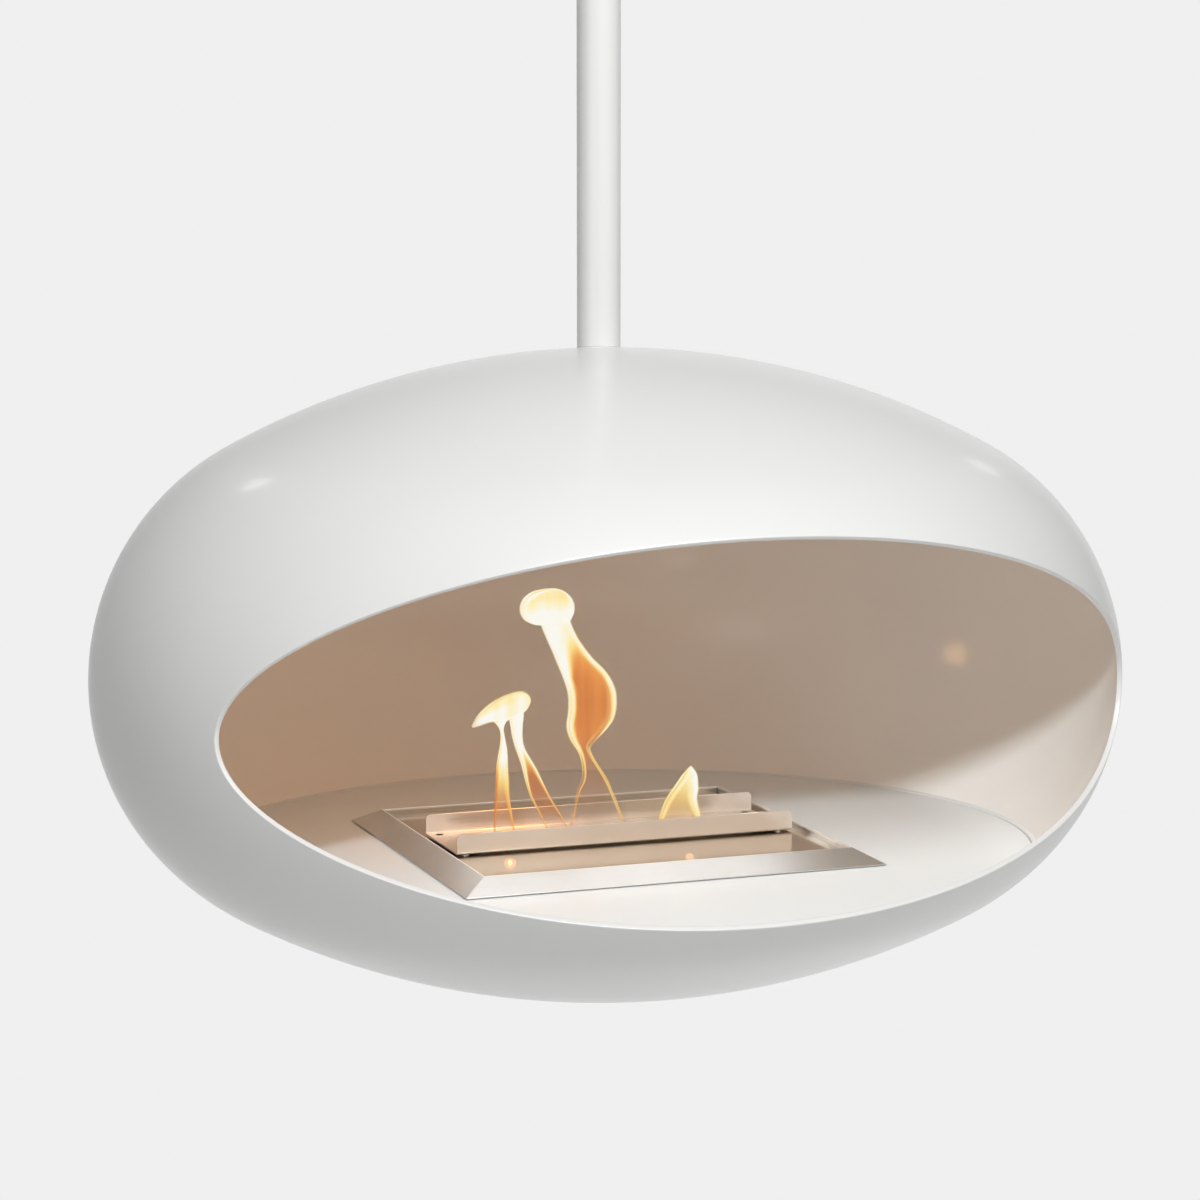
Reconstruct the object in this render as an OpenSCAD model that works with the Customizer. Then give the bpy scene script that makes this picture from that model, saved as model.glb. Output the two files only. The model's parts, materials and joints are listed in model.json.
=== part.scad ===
// Hanging fireplace: a flattened steel pod on a pole that swivels under the ceiling,
// with an oval mouth, a flat hearth and a square drop-in burner with a sliding damper.
// Millimetres, +Z up, the mouth faces -Y. The origin is the centre of the ceiling plate's
// top face, on the pole's axis, and everything hangs below it.

/* [Ceiling plate] */
// Diameter of the ceiling plate
ceiling_plate_d = 180; // [160:5:220]
// Thickness of the ceiling plate
ceiling_plate_t = 8; // [6:1:12]
// Bolt circle of the ceiling plate
ceiling_bolt_circle = 140; // [120:5:145]
// Diameter of the ceiling bolt holes
ceiling_bolt_hole_d = 11; // [9:0.5:13]
// Number of ceiling bolts
ceiling_bolts = 4; // [3:1:8]
// Height of the canopy that hides the swivel
canopy_h = 86; // [84:1:110]
// Sheet thickness of the canopy
canopy_wall = 1.5; // [1:0.5:3]
// Radius of the canopy's lower corner
canopy_corner_r = 60; // [40:5:64]

/* [Swivel] */
// Diameter of the spindle where it turns in the bush
spindle_d = 25; // [20:1:28]
// Outer diameter of the bearing hub
hub_d = 72; // [68:1:90]
// Bore of the nut pocket in the hub
pocket_d = 54; // [50:1:58]
// Depth of the nut pocket
pocket_h = 38; // [36:1:44]
// Length of the bush under the pocket
bush_h = 26; // [20:1:34]
// Wall of the bush
bush_wall = 3; // [2:0.5:5]
// Thickness of the thrust washer
thrust_t = 3; // [2:0.5:5]
// Height of the castle nut
castle_nut_h = 18; // [16:1:20]
// Width across the flats of the castle nut
castle_nut_af = 36; // [32:1:40]
// Diameter of the cotter pin
cotter_d = 4; // [3:0.5:5]
// Radial clearance between the spindle and its bush
bush_clearance = 0.05; // [0.02:0.01:0.1]

/* [Pole] */
// Outer diameter of the pole
pole_d = 42.4; // [38:0.1:48.3]
// Wall of the pole
pole_wall = 3.2; // [2.6:0.1:4]
// Length of the pole
pole_len = 1000; // [400:50:2000]
// Diameter of the stud under the pole
stud_d = 30; // [24:1:30]
// Width across the flats of the stud nuts
stud_nut_af = 46; // [42:1:50]
// Height of the stud nut
stud_nut_h = 24; // [18:1:30]
// Height of the stud's locknut
locknut_h = 14; // [10:1:18]

/* [Pod] */
// Width of the pod, left to right
pod_w = 1000; // [900:10:1200]
// Depth of the pod, front to back
pod_d = 920; // [860:10:1100]
// Height from the widest level up to the crown
crown_h = 313; // [305:1:330]
// Depth from the widest level down to the bottom
keel_h = 307; // [300:1:330]
// Radius of the shoulder above the widest level
upper_shoulder_r = 250; // [230:5:270]
// Radius of the shoulder below the widest level
lower_shoulder_r = 240; // [225:5:260]
// Wall of the pod
pod_wall = 5; // [3:0.5:6]
// How far the pole stands behind the middle of the pod
pole_set_back = 30; // [10:5:40]
// Diameter of the doubler plate inside the crown
doubler_d = 220; // [160:10:260]
// Thickness of the doubler plate
doubler_t = 6; // [4:1:10]

/* [Mouth] */
// Width of the mouth
mouth_w = 880; // [800:5:900]
// Height of the mouth
mouth_h = 333; // [310:1:333]
// Upward tilt of the mouth, in degrees
mouth_tilt = 3; // [2:0.5:3]
// Where the mouth's axis crosses the widest level, in front of the pod's middle
mouth_crossing = 350; // [320:5:360]

/* [Hearth] */
// Drop of the hearth's top below the widest level
hearth_drop = 170; // [168:1:180]
// Thickness of the hearth
hearth_t = 3; // [2:0.5:5]
// Number of brackets under the hearth
brackets = 6; // [4:1:8]
// Reach of each bracket inward from the wall
bracket_reach = 60; // [40:5:70]
// Height of each bracket
bracket_h = 42; // [30:2:50]
// Thickness of the bracket steel
bracket_t = 4; // [3:0.5:6]
// Diameter of the weld studs under the hearth
hearth_stud_d = 6; // [5:0.5:8]

/* [Burner] */
// Clear width of the burner inside its surround
burner_w = 364; // [350:2:380]
// Clear depth of the burner inside its surround
burner_d = 328; // [310:2:350]
// Width of the surround's bevel
bevel_w = 26; // [20:1:32]
// Height of the surround above the hearth
surround_h = 15; // [13:1:20]
// Drop of the top plate below the surround's edge
plate_recess = 6; // [4:0.5:8]
// Sheet thickness of the surround
surround_sheet = 1.5; // [1:0.25:2]
// Width of the ledge that carries the top plate
ledge_w = 8; // [6:1:10]
// Thickness of the top plate
plate_t = 2; // [1.5:0.25:3]
// Sheet thickness of the burner casing, the well and the fuel tray
casing_sheet = 1.5; // [1:0.25:2]
// Depth of the burner casing below the top plate
casing_h = 60; // [54:1:70]
// Gap round the casing in its well
well_gap = 3; // [2:0.5:4]
// Width of the flame slot
slot_w = 60; // [50:2:64]
// Height of the fuel tray
tray_h = 40; // [34:1:42]

/* [Flame guard] */
// Gap between each end of the guard and the surround
guard_end_gap = 10; // [6:1:20]
// Width of the flame guard
guard_w = 102; // [96:1:110]
// Height of the guard's two flanges
guard_h = 20; // [15:1:26]
// Sheet thickness of the guard
guard_sheet = 1.5; // [1:0.25:2]
// Radius of the flanges' top corners
guard_corner_r = 5; // [3:0.5:8]
// Height of the spacers under the guard
spacer_h = 1.5; // [1:0.5:5]

/* [Damper] */
// Travel of the damper from open to shut
damper_travel = 57; // [45:1:58]
// Thickness of the damper plate
damper_t = 1.5; // [1:0.25:2]
// Clearance round the damper in its guides
damper_gap = 0.3; // [0.2:0.05:0.5]
// Diameter of the damper's knob
knob_d = 16; // [12:1:18]
// Height of the knob above the top plate
knob_h = 7; // [5:0.5:8]
// Diameter of the knob's stem
stem_d = 6; // [4:0.5:8]

/* [Hidden] */
$fn = 64;

steel_white = "whitesmoke";
steel_plain = "silver";
bronze = "peru";

eps = 0.01;                // overlap that keeps a cut clean
seat_gap = 0.2;            // gap between pieces that are welded or seated
running_gap = 0.3;         // gap between faces that turn past each other
screw_clearance = 0.3;     // gap round a screw in the sheet it clamps

// Levels of the swivel, downwards from the ceiling
ledge_z = -ceiling_plate_t - pocket_h;
hub_bottom_z = ledge_z - bush_h;
washer_t = 4;
collar_t = 6;
collar_gap = 2;
collar_z = hub_bottom_z - collar_gap;
pole_top_z = collar_z - collar_t;
pole_bottom_z = pole_top_z - pole_len;
washer_z = ledge_z + thrust_t + running_gap;
nut_z = washer_z + washer_t;
thread_d = spindle_d - 1;
spindle_end = 3;            // thread that shows above the castle nut
spindle_top_z = nut_z + castle_nut_h + spindle_end;
castle_slot_h = 6;
castle_slot_w = cotter_d + 1;
cotter_end = 4;             // how far each end of the pin stands out of the nut
washer_play = 2;            // gap between the thrust washer and the pocket's wall
washer_bore_play = 0.5;     // gap between the thrust washer and the spindle
spindle_washer_play = 3;    // gap between the spindle washer and the pocket's wall
cotter_z = nut_z + castle_nut_h - castle_slot_h / 2;
plug_h = 30;
pole_bore_d = pole_d - 2 * pole_wall;

// The canopy
canopy_rim_z = -1;
canopy_r = ceiling_plate_d / 2 + running_gap + canopy_wall;
canopy_pole_gap = 2;
canopy_hole_d = pole_d + 2 * canopy_pole_gap;
canopy_screws_count = 3;
canopy_screw_d = 4;
canopy_screw_head_d = 7;
canopy_screw_head_h = 2.4;
canopy_screw_l = 10;

// The pod: two shoulder arcs and two crown arcs, revolved and drawn in from front to back
seat_proud = 0.3;
widest_z = pole_bottom_z - seat_proud - crown_h;
pad_margin = 12;
stud_washer_rim = 7;        // how far the washer reaches past the nut's flats
pad_rise = 6;               // how far the pad reaches up into the doubler plate
pad_drop = 10;              // how far the nut's pad stands below the doubler plate
stud_end = 4;               // thread that shows below the locknut
nut_seat_z = pole_bottom_z - pod_wall - doubler_t - pad_drop;
stud_bottom_z = nut_seat_z - washer_t - stud_nut_h - locknut_h - stud_end;
middle_y = -pole_set_back;
half_w = pod_w / 2;
depth_ratio = pod_d / pod_w;
arc_steps = 16;
outline_steps = 120;
hearth_gap = 0.5;

function crown_r(h, r) = (pow(half_w - r, 2) + h * h - r * r) / (2 * (h - r));
function join_angle(h, r) = atan2(crown_r(h, r) - h, half_w - r);
function arc(cx, cz, r, a0, a1, n) =
    [for (i = [0:n]) let (a = a0 + (a1 - a0) * i / n) [cx + r * cos(a), cz + r * sin(a)]];
function pod_profile(inset) =
    let (low = join_angle(keel_h, lower_shoulder_r), high = join_angle(crown_h, upper_shoulder_r),
        low_r = crown_r(keel_h, lower_shoulder_r), high_r = crown_r(crown_h, upper_shoulder_r))
    concat(
        arc(0, low_r - keel_h, low_r - inset, -90, -low, arc_steps),
        tail(arc(half_w - lower_shoulder_r, 0, lower_shoulder_r - inset, -low, 0, arc_steps)),
        tail(arc(half_w - upper_shoulder_r, 0, upper_shoulder_r - inset, 0, high, arc_steps)),
        tail(arc(0, crown_h - high_r, high_r - inset, high, 90, arc_steps)));
function tail(list) = [for (i = [1:len(list) - 1]) list[i]];
function backwards(list) = [for (i = [len(list) - 1:-1:0]) list[i]];

// The hearth and the burner, at heights above the hearth's top face
hearth_z = widest_z - hearth_drop;
surround_w = burner_w + 2 * bevel_w;
surround_d = burner_d + 2 * bevel_w;
plate_top = surround_h - plate_recess;
plate_bottom = plate_top - plate_t;
plate_gap = 0.3;
bevel_foot = 4;
casing_w = burner_w - 2 * ledge_w - 2 * well_gap;
casing_d = burner_d - 2 * ledge_w - 2 * well_gap;
well_w = casing_w + 2 * well_gap;
well_d = casing_d + 2 * well_gap;
well_h = casing_h - plate_bottom + well_gap;
well_flange = 14;
well_screw_d = 4;
well_screw_in = 6;          // from the well's wall to its screws
well_screw_l = 8;           // thread under the hearth
well_screw_head_h = 2;
well_screw_x = well_w / 2 + casing_sheet + well_screw_in;
well_screw_y = well_d / 2 + casing_sheet + well_screw_in;
tray_side_gap = 2;
tray_end_gap = 30;
tray_w = casing_w - 2 * casing_sheet - 2 * tray_side_gap;
tray_d = casing_d - 2 * casing_sheet - 2 * tray_end_gap;
tray_floor = plate_bottom - casing_h + casing_sheet;
wool_gap = 0.5;
wool_drop = 8;              // from the tray's rim down to the wool
wool_h = tray_h - casing_sheet - wool_drop;
wool_top = tray_floor + casing_sheet + wool_h;
retainer_t = 1;
retainer_hole_d = 9;
retainer_pitch = 26;

// Hearth brackets
bracket_tab_w = 40;
bracket_stud_inset = 34;
bracket_stud_y = 12;
bracket_trim = 30;
nut_af_ratio = 1.65;
hearth_nut_h = 5;
hearth_stud_end = 2;
hearth_stud_l = bracket_t + hearth_nut_h + hearth_stud_end;
stud_clearance = 0.4;
bracket_first_angle = 30;

// Flame guard
guard_bottom = plate_top + spacer_h;
guard_l = burner_w - 2 * guard_end_gap;
slot_end_margin = 32;
slot_l = guard_l - 2 * slot_end_margin;
spacer_inset = 11;
guard_fold_r = 2.5;
guard_screw_d = 4;
guard_screw_head_d = 8;
guard_screw_end = 4;        // thread below the top plate
spacer_d = 10;
spacer_x = guard_l / 2 - spacer_inset;
spacer_y = guard_w / 2 - spacer_inset;

// Damper, at the open end of its travel
damper_cover = 3;
damper_side_cover = 10;
damper_l = slot_l + 2 * damper_side_cover;
damper_d = slot_w + 2 * damper_cover;
damper_front = slot_w / 2 - (slot_w + damper_cover - damper_travel);
damper_top = plate_bottom - damper_gap;
guide_lip = 4;
guide_lip_t = 1.5;
guide_h = 2 * damper_gap + damper_t + guide_lip_t;
guide_web = 4;
guide_end = 6;
guide_l = damper_d + damper_travel + 2 * guide_end;
tongue_w = 30;
tongue_l = 34;
stem_y = damper_front + damper_d + tongue_l - stem_d;
stem_play = 0.8;
stem_slot_w = stem_d + 2 * stem_play;
knob_gap = 2;
knob_edge = 1;

module at_pod() { translate([0, middle_y, widest_z]) children(); }
module at_hearth() { translate([0, middle_y, hearth_z]) children(); }
module each_corner(x, y) { for (i = [-1, 1], j = [-1, 1]) translate([i * x, j * y, 0]) children(); }
module slab(w, d, h) { translate([-w / 2, -d / 2, 0]) cube([w, d, h]); }
module hexagon(af, h) { cylinder(d = af / cos(30), h = h, $fn = 6); }

// A solid with the pod's outline, drawn in by inset from the outer face
module pod_solid(inset) { scale([1, depth_ratio, 1]) rotate_extrude($fn = 96) polygon(pod_profile(inset)); }

// A layer of the pod's wall between two insets
module pod_layer(outer, inner) {
    scale([1, depth_ratio, 1]) rotate_extrude($fn = 96)
        polygon(concat(pod_profile(outer), backwards(pod_profile(inner))));
}

// The straight oval cut, tilted up towards the front, that makes the mouth
module mouth_cut() {
    translate([0, 0, -mouth_crossing * tan(mouth_tilt)]) rotate([90 - mouth_tilt, 0, 0])
        scale([mouth_w / 2, mouth_h / 2, 1]) cylinder(r = 1, h = pod_d, $fn = 96);
}

module ceiling_plate() {
    color(steel_plain) difference() {
        translate([0, 0, -ceiling_plate_t]) cylinder(d = ceiling_plate_d, h = ceiling_plate_t);
        translate([0, 0, -ceiling_plate_t - eps]) cylinder(d = pocket_d, h = ceiling_plate_t + 2 * eps);
        for (i = [0:ceiling_bolts - 1]) rotate([0, 0, 45 + i * 360 / ceiling_bolts])
            translate([ceiling_bolt_circle / 2, 0, -ceiling_plate_t - eps])
                cylinder(d = ceiling_bolt_hole_d, h = ceiling_plate_t + 2 * eps);
        at_canopy_screws() translate([-canopy_screw_l, 0, 0])
            rotate([0, 90, 0]) cylinder(d = canopy_screw_d, h = 2 * canopy_screw_l);
    }
}

// Where the canopy's screws enter the plate's edge, with X pointing outwards
module at_canopy_screws() {
    for (i = [0:canopy_screws_count - 1]) rotate([0, 0, 90 + i * 360 / canopy_screws_count])
        translate([canopy_r, 0, -ceiling_plate_t / 2]) children();
}

module bearing_hub() {
    color(steel_plain) difference() {
        translate([0, 0, hub_bottom_z]) cylinder(d = hub_d, h = pocket_h + bush_h);
        translate([0, 0, ledge_z]) cylinder(d = pocket_d, h = pocket_h + eps);
        translate([0, 0, hub_bottom_z - eps])
            cylinder(d = spindle_d + 2 * bush_clearance + 2 * bush_wall, h = bush_h + 2 * eps);
    }
}

module bearing_bush() {
    color(bronze) difference() {
        translate([0, 0, hub_bottom_z])
            cylinder(d = spindle_d + 2 * bush_clearance + 2 * bush_wall, h = bush_h);
        translate([0, 0, hub_bottom_z - eps])
            cylinder(d = spindle_d + 2 * bush_clearance, h = bush_h + 2 * eps);
    }
}

module thrust_washer() {
    color(bronze) difference() {
        translate([0, 0, ledge_z]) cylinder(d = pocket_d - 2 * washer_play, h = thrust_t);
        translate([0, 0, ledge_z - eps]) cylinder(d = spindle_d + 2 * washer_bore_play, h = thrust_t + 2 * eps);
    }
}

// A spun cup with a large round corner, from its rim to the hole round the pole
module canopy() {
    r = canopy_r;
    c = canopy_corner_r;
    w = canopy_wall;
    color(steel_white) difference() {
        rotate_extrude($fn = 96) polygon(concat(
            [[r, canopy_rim_z]],
            arc(r - c, c - canopy_h, c, 0, -90, 12),
            [[canopy_hole_d / 2, -canopy_h], [canopy_hole_d / 2, w - canopy_h]],
            backwards(arc(r - c, c - canopy_h, c - w, 0, -90, 12)),
            [[r - w, canopy_rim_z]]));
        at_canopy_screws() translate([-2 * w, 0, 0]) rotate([0, 90, 0])
            cylinder(d = canopy_screw_d + 2 * seat_gap, h = 4 * w);
    }
}

module canopy_screws() {
    color(steel_white) at_canopy_screws() rotate([0, 90, 0]) {
        cylinder(d = canopy_screw_head_d, h = canopy_screw_head_h);
        translate([0, 0, -canopy_screw_l + eps]) cylinder(d = canopy_screw_d, h = canopy_screw_l);
    }
}

// Turned spindle: plug in the pole, collar on it, journal in the bush and thread in the pocket
module spindle() {
    color(steel_plain) difference() {
        union() {
            translate([0, 0, pole_top_z - plug_h]) cylinder(d = pole_bore_d, h = plug_h + eps);
            translate([0, 0, pole_top_z]) cylinder(d = pole_d, h = collar_t);
            translate([0, 0, collar_z - eps]) cylinder(d = spindle_d, h = washer_z - collar_z + eps);
            translate([0, 0, washer_z - eps]) cylinder(d = thread_d, h = spindle_top_z - washer_z);
        }
        translate([-spindle_d, 0, cotter_z]) rotate([0, 90, 0]) cylinder(d = cotter_d, h = 2 * spindle_d);
    }
}

module spindle_washer() {
    color(steel_plain) difference() {
        translate([0, 0, washer_z]) cylinder(d = pocket_d - 2 * spindle_washer_play, h = washer_t);
        translate([0, 0, washer_z - eps]) cylinder(d = thread_d, h = washer_t + 2 * eps);
    }
}

module castle_nut() {
    color(steel_plain) difference() {
        translate([0, 0, nut_z]) hexagon(castle_nut_af, castle_nut_h);
        translate([0, 0, nut_z - eps]) cylinder(d = thread_d, h = castle_nut_h + 2 * eps);
        for (i = [0:2]) rotate([0, 0, i * 60]) translate([0, 0, nut_z + castle_nut_h - castle_slot_h])
            slab(2 * castle_nut_af, castle_slot_w, castle_slot_h + eps);
    }
}

module cotter_pin() {
    color(steel_plain) translate([0, 0, cotter_z]) rotate([0, 90, 0])
        cylinder(d = cotter_d, h = castle_nut_af + 2 * cotter_end, center = true);
}

module pole() {
    color(steel_white) translate([0, 0, pole_bottom_z]) difference() {
        cylinder(d = pole_d, h = pole_len);
        translate([0, 0, -eps]) cylinder(d = pole_bore_d, h = pole_len + 2 * eps);
    }
}

// Plug welded into the pole's foot, with the stud that passes through the crown
module pole_foot() {
    color(steel_plain) {
        translate([0, 0, pole_bottom_z]) cylinder(d = pole_bore_d, h = plug_h);
        translate([0, 0, stud_bottom_z]) cylinder(d = stud_d, h = pole_bottom_z - stud_bottom_z + eps);
    }
}

// The pod's skin, with a flat seat for the pole and the mouth cut through its front
module pod_shell() {
    color(steel_white) difference() {
        union() {
            at_pod() pod_layer(0, pod_wall);
            translate([0, 0, pole_bottom_z - seat_proud - pod_wall])
                cylinder(d = pole_d, h = pod_wall + seat_proud);
        }
        at_pod() mouth_cut();
        translate([0, 0, pole_bottom_z - 5 * pod_wall])
            cylinder(d = stud_d + 2 * stud_clearance, h = 6 * pod_wall);
    }
}

// Dished plate under the crown, with a flat pad for the nut
module doubler_plate() {
    color(steel_white) difference() {
        union() {
            intersection() {
                at_pod() pod_layer(pod_wall + seat_gap, pod_wall + doubler_t);
                translate([0, 0, widest_z]) cylinder(d = doubler_d, h = crown_h + seat_proud);
            }
            translate([0, 0, nut_seat_z]) cylinder(d = stud_nut_af + 2 * pad_margin, h = doubler_t + pad_rise);
        }
        translate([0, 0, nut_seat_z - eps])
            cylinder(d = stud_d + 2 * stud_clearance, h = 4 * doubler_t);
    }
}

module ring_on_stud(z, h) {
    difference() {
        translate([0, 0, z]) children();
        translate([0, 0, z - eps]) cylinder(d = stud_d, h = h + 2 * eps);
    }
}

module stud_washer() {
    color(steel_plain) ring_on_stud(nut_seat_z - washer_t, washer_t)
        cylinder(d = stud_nut_af + 2 * stud_washer_rim, h = washer_t);
}

module stud_nut() {
    color(steel_plain) ring_on_stud(nut_seat_z - washer_t - stud_nut_h, stud_nut_h)
        hexagon(stud_nut_af, stud_nut_h);
}

module stud_locknut() {
    color(steel_plain) ring_on_stud(nut_seat_z - washer_t - stud_nut_h - locknut_h, locknut_h)
        hexagon(stud_nut_af, locknut_h);
}

// Half width of the pod inside its wall, at the hearth's under face
under_z = -hearth_drop - hearth_t;
inside_r = half_w - lower_shoulder_r
    + sqrt(pow(lower_shoulder_r - pod_wall, 2) - pow(hearth_drop + hearth_t, 2));

// Places round the wall, each with X pointing outwards and its origin at the wall
module at_brackets() {
    for (i = [0:brackets - 1]) {
        a = bracket_first_angle + i * 360 / brackets;
        x = inside_r * cos(a);
        y = inside_r * depth_ratio * sin(a);
        translate([x, y, 0]) rotate([0, 0, atan2(y, x)]) children();
    }
}

// Gusset and tab, trimmed to the wall they are welded to
module hearth_brackets() {
    color(steel_white) at_pod() intersection() {
        pod_solid(pod_wall + seat_gap);
        at_brackets() difference() {
            union() {
                translate([-bracket_reach, -bracket_tab_w / 2, under_z - bracket_t])
                    cube([bracket_reach + bracket_trim, bracket_tab_w, bracket_t]);
                translate([-bracket_reach, bracket_t / 2, under_z - bracket_t + eps]) rotate([90, 0, 0])
                    linear_extrude(bracket_t)
                        polygon([[0, 0], [bracket_reach, 0], [bracket_reach, -bracket_h], [bracket_reach / 2, -bracket_h]]);
            }
            translate([-bracket_stud_inset, 0, under_z - bracket_t - eps]) bracket_stud_hole();
        }
    }
}

module bracket_stud_hole() {
    for (j = [-1, 1]) translate([0, j * bracket_stud_y, 0])
        cylinder(d = hearth_stud_d + 2 * stud_clearance, h = bracket_t + 2 * eps);
}

// Oval with the pod's inside outline at the hearth's under face
module hearth_outline() {
    rx = inside_r - hearth_gap;
    ry = inside_r * depth_ratio - hearth_gap;
    polygon([for (i = [0:outline_steps - 1]) let (a = i * 360 / outline_steps) [rx * cos(a), ry * sin(a)]]);
}

// Flat hearth inside the pod, cut out for the burner, with weld studs below
module hearth_plate() {
    color(steel_white) {
        difference() {
            at_hearth() translate([0, 0, -hearth_t]) linear_extrude(hearth_t) hearth_outline();
            at_hearth() {
                translate([0, 0, -2 * hearth_t]) slab(well_w, well_d, 3 * hearth_t);
                at_well_screws() translate([0, 0, -2 * hearth_t])
                    cylinder(d = well_screw_d + 2 * screw_clearance, h = 3 * hearth_t);
            }
        }
        at_pod() at_hearth_studs() translate([0, 0, under_z - hearth_stud_l])
            cylinder(d = hearth_stud_d, h = hearth_stud_l + eps);
    }
}

module at_hearth_studs() {
    at_brackets() for (j = [-1, 1])
        translate([-bracket_stud_inset, j * bracket_stud_y, 0]) children();
}

module hearth_nuts() {
    color(steel_plain) at_pod() at_hearth_studs()
        translate([0, 0, under_z - bracket_t - hearth_nut_h]) difference() {
            hexagon(hearth_stud_d * nut_af_ratio, hearth_nut_h);
            translate([0, 0, -eps]) cylinder(d = hearth_stud_d, h = hearth_nut_h + 2 * eps);
        }
}

module at_well_screws() {
    each_corner(well_screw_x, well_d / 3) children();
    each_corner(well_w / 3, well_screw_y) children();
}

// Open box that shields the pod from the burner, hung under the hearth by its flange
module burner_well() {
    color(steel_plain) at_hearth() translate([0, 0, -hearth_t]) difference() {
        union() {
            translate([0, 0, -casing_sheet])
                slab(well_w + 2 * well_flange, well_d + 2 * well_flange, casing_sheet);
            translate([0, 0, -well_h]) slab(well_w + 2 * casing_sheet, well_d + 2 * casing_sheet, well_h);
        }
        translate([0, 0, casing_sheet - well_h]) slab(well_w, well_d, well_h);
        at_well_screws() translate([0, 0, -2 * casing_sheet])
            cylinder(d = well_screw_d, h = 3 * casing_sheet);
    }
}

module well_screws() {
    color(steel_plain) at_hearth() at_well_screws() {
        translate([0, 0, -hearth_t - well_screw_l])
            cylinder(d = well_screw_d, h = well_screw_l + hearth_t + eps);
        cylinder(d = 2 * well_screw_d, h = well_screw_head_h);
    }
}

// Bevelled frame folded from sheet: bevel outside, upright inside, ledge for the top plate
module burner_surround() {
    s = surround_sheet;
    color(steel_plain) at_hearth() difference() {
        union() {
            difference() {
                frustum(surround_w, surround_d, burner_w + 2 * s, burner_d + 2 * s, surround_h);
                translate([0, 0, -eps]) frustum(surround_w - 2 * bevel_foot, surround_d - 2 * bevel_foot,
                    burner_w + s, burner_d + s, surround_h - 2 * s);
            }
            translate([0, 0, plate_bottom - s])
                slab(burner_w + 2 * s, burner_d + 2 * s, plate_recess + plate_t);
        }
        translate([0, 0, plate_bottom]) slab(burner_w, burner_d, surround_h);
        translate([0, 0, -eps]) slab(burner_w - 2 * ledge_w, burner_d - 2 * ledge_w, surround_h);
    }
}

// A block whose four sides lean in, made of two wedge cuts so that its faces stay true planes
module frustum(w0, d0, w1, d1, h) {
    intersection() {
        rotate([90, 0, 0]) translate([0, 0, -d0]) linear_extrude(2 * d0)
            polygon([[-w0 / 2, 0], [w0 / 2, 0], [w1 / 2, h], [-w1 / 2, h]]);
        rotate([90, 0, 90]) translate([0, 0, -w0]) linear_extrude(2 * w0)
            polygon([[-d0 / 2, 0], [d0 / 2, 0], [d1 / 2, h], [-d1 / 2, h]]);
    }
}

module burner_casing() {
    color(steel_plain) at_hearth() translate([0, 0, plate_bottom - casing_h]) difference() {
        slab(casing_w, casing_d, casing_h);
        translate([0, 0, casing_sheet])
            slab(casing_w - 2 * casing_sheet, casing_d - 2 * casing_sheet, casing_h);
    }
}

module burner_top_plate() {
    color(steel_plain) at_hearth() difference() {
        translate([0, 0, plate_bottom]) slab(burner_w - 2 * plate_gap, burner_d - 2 * plate_gap, plate_t);
        translate([0, 0, plate_bottom - eps]) {
            slab(slot_l, slot_w, plate_t + 2 * eps);
            each_corner(spacer_x, spacer_y) cylinder(d = guard_screw_d, h = plate_t + 2 * eps);
            stem_slot(plate_t + 2 * eps);
        }
    }
}

// Slot in the top plate along which the damper's stem travels
module stem_slot(h) {
    translate([-stem_slot_w / 2, stem_y - damper_travel, 0]) cube([stem_slot_w, damper_travel, h]);
    for (y = [stem_y - damper_travel, stem_y]) translate([0, y, 0]) cylinder(d = stem_slot_w, h = h);
}

// Folded channel with two upright flanges on either side of the flame slot
module flame_guard() {
    s = guard_sheet;
    f = guard_fold_r;
    color(steel_plain) at_hearth() translate([0, 0, guard_bottom]) difference() {
        rotate([90, 0, 90]) translate([0, 0, -guard_l / 2]) linear_extrude(guard_l) difference() {
            union() {
                translate([-guard_w / 2, f]) square([guard_w, guard_h - f]);
                translate([f - guard_w / 2, 0]) square([guard_w - 2 * f, guard_h]);
                for (i = [-1, 1]) translate([i * (guard_w / 2 - f), f]) circle(r = f);
            }
            translate([s - guard_w / 2, s]) square([guard_w - 2 * s, guard_h]);
        }
        translate([0, 0, -eps]) slab(slot_l, slot_w, s + 2 * eps);
        each_corner(spacer_x, spacer_y) translate([0, 0, -eps]) {
            cylinder(d = guard_screw_d, h = s + 2 * eps);
            cylinder(d1 = guard_screw_d, d2 = guard_screw_head_d, h = s + 2 * eps);
        }
        for (i = [0, 1]) mirror([i, 0, 0])
            translate([guard_l / 2 - guard_corner_r, -guard_w, guard_h - guard_corner_r])
                rotate([-90, 0, 0]) corner_cut();
    }
}

// What a rounded flange corner takes away
module corner_cut() {
    mirror([0, 1, 0]) linear_extrude(2 * guard_w) difference() {
        square(guard_corner_r + 1);
        circle(r = guard_corner_r);
    }
}

module guard_spacers() {
    color(steel_plain) at_hearth() translate([0, 0, plate_top]) each_corner(spacer_x, spacer_y) difference() {
        cylinder(d = spacer_d, h = spacer_h);
        translate([0, 0, -eps]) cylinder(d = guard_screw_d, h = spacer_h + 2 * eps);
    }
}

module guard_screws() {
    shank = plate_t + spacer_h + guard_screw_end;
    color(steel_plain) at_hearth() each_corner(spacer_x, spacer_y) {
        translate([0, 0, guard_bottom - shank]) cylinder(d = guard_screw_d, h = shank + eps);
        translate([0, 0, guard_bottom]) cylinder(d1 = guard_screw_d, d2 = guard_screw_head_d, h = guard_sheet);
    }
}

module fuel_tray() {
    color(steel_plain) at_hearth() translate([0, 0, tray_floor]) difference() {
        slab(tray_w, tray_d, tray_h);
        translate([0, 0, casing_sheet]) slab(tray_w - 2 * casing_sheet, tray_d - 2 * casing_sheet, tray_h);
    }
}

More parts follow.
